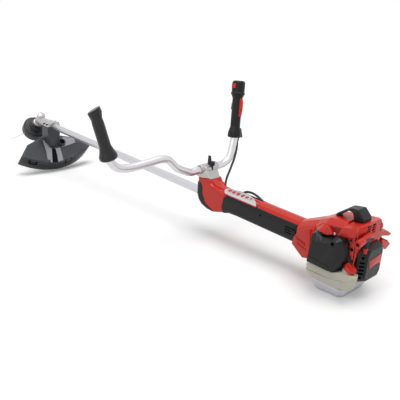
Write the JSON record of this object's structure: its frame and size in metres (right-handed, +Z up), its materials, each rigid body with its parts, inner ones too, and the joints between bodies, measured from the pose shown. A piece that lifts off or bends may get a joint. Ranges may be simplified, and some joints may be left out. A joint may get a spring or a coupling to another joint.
{
  "type": "string trimmer",
  "caption": "Petrol string trimmer with a wide two-handed bar, throttle grip, straight drive tube, guard and bump-feed line head, resting on its tank foot and guard.",
  "frame": {"origin": "on the floor, under the middle of the tank foot", "axes": "+X towards the starter's end, -X towards the cutting head, +Y the operator's right, +Z up"},
  "size_m": [1.8752, 0.5946, 0.4833],
  "materials": {
    "red_plastic": "glossy moulded",
    "black_plastic": "fine moulded grain",
    "guard_plastic": "satin moulded",
    "grip_rubber": "matt",
    "tube_aluminium": "satin anodised",
    "cast_alloy": "cast, lightly polished",
    "steel": "machined",
    "tank_plastic": "translucent moulded",
    "foot_plastic": "smooth moulded",
    "filter_foam": "open foam",
    "line_nylon": "smooth nylon"
  },
  "bodies": {
    "machine": {"gear_case": "cast_alloy", "gear_cap": "cast_alloy", "output_bearing": "steel", "guard_shield": "guard_plastic", "guard_clamp": "cast_alloy", "guard_skirt": "guard_plastic", "drive_tube": "tube_aluminium", "shaft_bush": "grip_rubber", "pinion_bearing": "steel", "housing_left": "red_plastic", "housing_right": "red_plastic", "side_cover_left": "black_plastic", "side_cover_right": "black_plastic", "front_cover": "black_plastic", "trim_strip": "tube_aluminium", "throttle_cable": "grip_rubber", "rubber_mount": "grip_rubber", "clutch_housing": "red_plastic", "clamp_base": "cast_alloy", "clamp_cap": "cast_alloy", "crankcase": "cast_alloy", "cylinder": "cast_alloy", "spark_plug": "steel", "fan_housing": "red_plastic", "starter_cover": "black_plastic", "engine_cover": "red_plastic", "top_handle": "black_plastic", "air_filter_cover": "black_plastic", "air_cover_screw": "steel", "carburettor": "cast_alloy", "air_filter": "filter_foam", "muffler": "steel", "muffler_guard": "red_plastic", "fuel_tank": "tank_plastic", "tank_foot": "foot_plastic", "starter_rope": "black_plastic"},
    "handlebar": {"handlebar": "tube_aluminium", "left_grip": "grip_rubber", "throttle_grip": "black_plastic"},
    "trigger": {"throttle_trigger": "red_plastic"},
    "lockout": {"throttle_lockout": "red_plastic"},
    "switch": {"stop_switch": "red_plastic"},
    "knob": {"clamp_knob": "black_plastic"},
    "drive_line": {"drive_shaft": "steel", "bevel_pinion": "steel", "clutch_drum": "steel"},
    "head": {"output_shaft": "steel", "drive_collar": "tube_aluminium", "spool_case": "guard_plastic", "trimmer_line": "line_nylon"},
    "spool": {"line_spool": "guard_plastic"},
    "crank": {"crankshaft_front": "steel", "crankshaft_rear": "steel", "flywheel": "cast_alloy", "clutch_rotor": "steel"},
    "piston": {"piston": "cast_alloy"},
    "rod": {"connecting_rod": "steel"},
    "pull_grip": {"starter_grip": "red_plastic"},
    "pulley": {"starter_pulley": "black_plastic"},
    "filler_cap": {"fuel_cap": "red_plastic"}
  },
  "joints": [
    {"name": "handlebar_tilt", "type": "hinge", "parent": "machine", "child": "handlebar", "pos_m": [-0.51927, 0, 0.21966], "axis": [0, 1, 0], "range_deg": [-15, 15], "deforming": ["throttle_cable"]},
    {"name": "clamp_knob_turn", "type": "hinge", "parent": "machine", "child": "knob", "pos_m": [-0.49935, 0, 0.23308], "axis": [0.0658, 0, 0.9978], "range_deg": [0, 360]},
    {"name": "trigger_pull", "type": "hinge", "parent": "handlebar", "child": "trigger", "pos_m": [-0.54939, 0.14753, 0.41998], "axis": [-0.0143, -0.9848, 0.1731], "range_deg": [0, 18], "stiffness_Nm_per_rad": 0.1, "springref_deg": -11.46},
    {"name": "lockout_press", "type": "hinge", "parent": "handlebar", "child": "lockout", "pos_m": [-0.52165, 0.14788, 0.42425], "axis": [0.0143, 0.9848, -0.1731], "range_deg": [0, 4], "stiffness_Nm_per_rad": 0.1, "springref_deg": -8.59},
    {"name": "stop_switch_press", "type": "slide", "parent": "handlebar", "child": "switch", "axis": [0.0143, 0.9848, -0.1731], "range_m": [0, 0.003], "stiffness_N_per_m": 300, "springref_m": -0.003},
    {"name": "head_spin", "type": "hinge", "parent": "machine", "child": "head", "pos_m": [-1.67636, 0, 0.21072], "axis": [0.7405, 0, 0.6721], "continuous": true},
    {"name": "drive_spin", "type": "hinge", "parent": "machine", "child": "drive_line", "pos_m": [0.07983, 0, 0.095], "axis": [0.9978, 0, -0.0658], "continuous": true},
    {"name": "spool_bump", "type": "slide", "parent": "head", "child": "spool", "axis": [0.7405, 0, 0.6721], "range_m": [0, 0.006], "stiffness_N_per_m": 1500, "springref_m": -0.01},
    {"name": "crank_spin", "type": "hinge", "parent": "machine", "child": "crank", "pos_m": [-0.02495, 0, 0.1019], "axis": [0.9978, 0, -0.0658], "continuous": true},
    {"name": "piston_stroke", "type": "slide", "parent": "machine", "child": "piston", "axis": [0.0658, 0, 0.9978], "range_m": [-0.028, 0]},
    {"name": "rod_swing", "type": "hinge", "parent": "piston", "child": "rod", "pos_m": [-0.021, 0, 0.16177], "axis": [0.9978, 0, -0.0658], "range_deg": [-17, 17]},
    {"name": "starter_pull", "type": "slide", "parent": "machine", "child": "pull_grip", "axis": [0.0658, 0, 0.9978], "range_m": [0, 0.5], "stiffness_N_per_m": 20, "springref_m": -0.4, "deforming": ["starter_rope"]},
    {"name": "pulley_turn", "type": "hinge", "parent": "machine", "child": "pulley", "pos_m": [0.05588, 0, 0.09658], "axis": [-0.9978, 0, 0.0658], "range_deg": [0, 1440]},
    {"name": "fuel_cap_turn", "type": "hinge", "parent": "machine", "child": "filler_cap", "pos_m": [0.0608, -0.0685, 0.09525], "axis": [0.5559, 0, 0.8313], "range_deg": [0, 270]}
  ],
  "couplings": [
    {"joint": "drive_spin", "follows": "head_spin", "ratio": -1.3636},
    {"joint": "pulley_turn", "follows": "starter_pull", "rad_per_m": 47.619}
  ]
}
